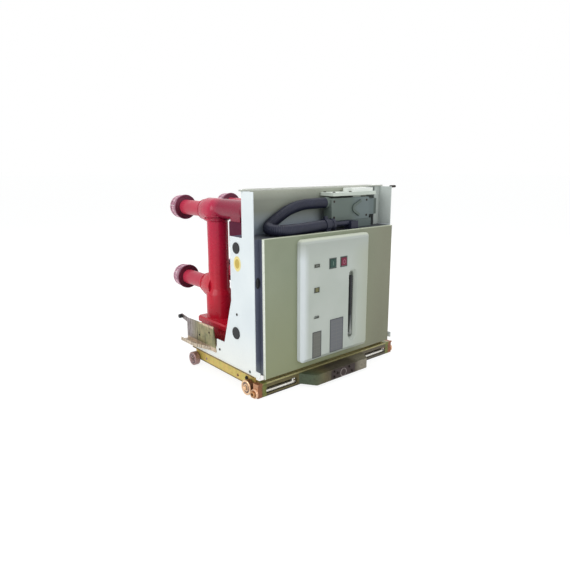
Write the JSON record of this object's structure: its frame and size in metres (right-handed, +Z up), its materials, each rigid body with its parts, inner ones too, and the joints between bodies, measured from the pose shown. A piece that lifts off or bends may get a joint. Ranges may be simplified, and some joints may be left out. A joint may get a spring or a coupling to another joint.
{
  "type": "withdrawable vacuum circuit breaker",
  "caption": "Withdrawable indoor vacuum circuit breaker on a wheeled truck, with cast-resin poles, tulip contacts, a control panel and a racking crossbeam.",
  "frame": {"origin": "on the floor under the middle of the overall box", "axes": "+X to the right of someone who faces the panel, +Y from the panel towards the contacts, +Z up"},
  "size_m": [0.686, 0.707, 0.642],
  "materials": {
    "white_powder_coat": "fine powder coat",
    "sage_powder_coat": "satin powder coat",
    "dark_enamel": "matt enamel",
    "panel_plastic": "moulded",
    "green_button_plastic": "moulded",
    "red_button_plastic": "moulded",
    "window_plastic": "clear cover over dark flag",
    "black_plastic": "moulded",
    "steel": "ground steel",
    "red_epoxy": "cast epoxy resin",
    "red_sleeve": "heat-shrink sleeve",
    "dark_resin": "moulded resin",
    "silvered_copper": "silver-plated copper",
    "yellow_zinc": "yellow passivated zinc",
    "bright_zinc": "bright zinc plate",
    "olive_zinc": "olive passivated zinc",
    "copper_zinc": "yellow passivated zinc",
    "hose_plastic": "corrugated nylon",
    "plug_plastic": "moulded"
  },
  "bodies": {
    "breaker_frame": {"arm_sleeves": "red_sleeve", "axles": "steel", "back_wall": "sage_powder_coat", "bungs": "black_plastic", "contact_arms": "silvered_copper", "control_bezel": "panel_plastic", "control_hose": "hose_plastic", "control_plug": "plug_plastic", "deck": "sage_powder_coat", "front_cover": "sage_powder_coat", "hose_clip": "black_plastic", "hose_gland": "black_plastic", "lower_contact_centre": "silvered_copper", "lower_contact_left": "silvered_copper", "lower_contact_right": "silvered_copper", "mechanism_box": "dark_enamel", "operation_counter": "window_plastic", "plug_holder": "panel_plastic", "plug_latch": "black_plastic", "pole_centre": "red_epoxy", "pole_left": "red_epoxy", "pole_right": "red_epoxy", "pole_supports": "dark_resin", "position_indicator": "window_plastic", "ramp_buffers": "black_plastic", "screw_nut": "steel", "shutter_ramp_left": "bright_zinc", "shutter_ramp_right": "bright_zinc", "side_plate_left": "white_powder_coat", "side_plate_right": "white_powder_coat", "spring_indicator": "window_plastic", "top_stud": "steel", "truck_plate": "yellow_zinc", "truck_rail_rear": "yellow_zinc", "truck_sides": "yellow_zinc", "upper_contact_centre": "silvered_copper", "upper_contact_left": "silvered_copper", "upper_contact_right": "silvered_copper"},
    "crossbeam": {"crossbeam": "olive_zinc", "drive_housing": "olive_zinc", "lead_screw": "steel", "guide_bars": "yellow_zinc"},
    "grip_left": {"grip_left": "bright_zinc"},
    "grip_right": {"grip_right": "bright_zinc"},
    "close_button": {"close_button": "green_button_plastic"},
    "open_button": {"open_button": "red_button_plastic"},
    "charging_lever": {"lever_arm": "steel", "lever_grip": "black_plastic"},
    "wheel_front_left": {"wheel_front_left": "copper_zinc"},
    "wheel_front_right": {"wheel_front_right": "copper_zinc"},
    "wheel_rear_left": {"wheel_rear_left": "copper_zinc"},
    "wheel_rear_right": {"wheel_rear_right": "copper_zinc"}
  },
  "joints": [
    {"name": "wheel_front_left_spin", "type": "hinge", "parent": "breaker_frame", "child": "wheel_front_left", "pos_m": [-0.319, -0.2435, 0.0245], "axis": [1, 0, 0], "continuous": true},
    {"name": "wheel_front_right_spin", "type": "hinge", "parent": "breaker_frame", "child": "wheel_front_right", "pos_m": [0.319, -0.2435, 0.0245], "axis": [1, 0, 0], "continuous": true},
    {"name": "wheel_rear_left_spin", "type": "hinge", "parent": "breaker_frame", "child": "wheel_rear_left", "pos_m": [-0.319, 0.0885, 0.0245], "axis": [1, 0, 0], "continuous": true},
    {"name": "wheel_rear_right_spin", "type": "hinge", "parent": "breaker_frame", "child": "wheel_rear_right", "pos_m": [0.319, 0.0885, 0.0245], "axis": [1, 0, 0], "continuous": true},
    {"name": "close_button_press", "type": "slide", "parent": "breaker_frame", "child": "close_button", "axis": [0, 1, 0], "range_m": [0, 0.004], "stiffness_N_per_m": 800, "springref_m": -0.004},
    {"name": "open_button_press", "type": "slide", "parent": "breaker_frame", "child": "open_button", "axis": [0, 1, 0], "range_m": [0, 0.004], "stiffness_N_per_m": 800, "springref_m": -0.004},
    {"name": "charging_lever_swing", "type": "hinge", "parent": "breaker_frame", "child": "charging_lever", "pos_m": [0.0645, -0.316, 0.141], "axis": [1, 0, 0], "range_deg": [0, 80]},
    {"name": "racking_travel", "type": "slide", "parent": "breaker_frame", "child": "crossbeam", "axis": [0, -1, 0], "range_m": [0, 0.2]},
    {"name": "grip_left_pull", "type": "slide", "parent": "crossbeam", "child": "grip_left", "axis": [1, 0, 0], "range_m": [0, 0.015], "stiffness_N_per_m": 1500, "springref_m": -0.006},
    {"name": "grip_right_pull", "type": "slide", "parent": "crossbeam", "child": "grip_right", "axis": [-1, 0, 0], "range_m": [0, 0.015], "stiffness_N_per_m": 1500, "springref_m": -0.006}
  ]
}
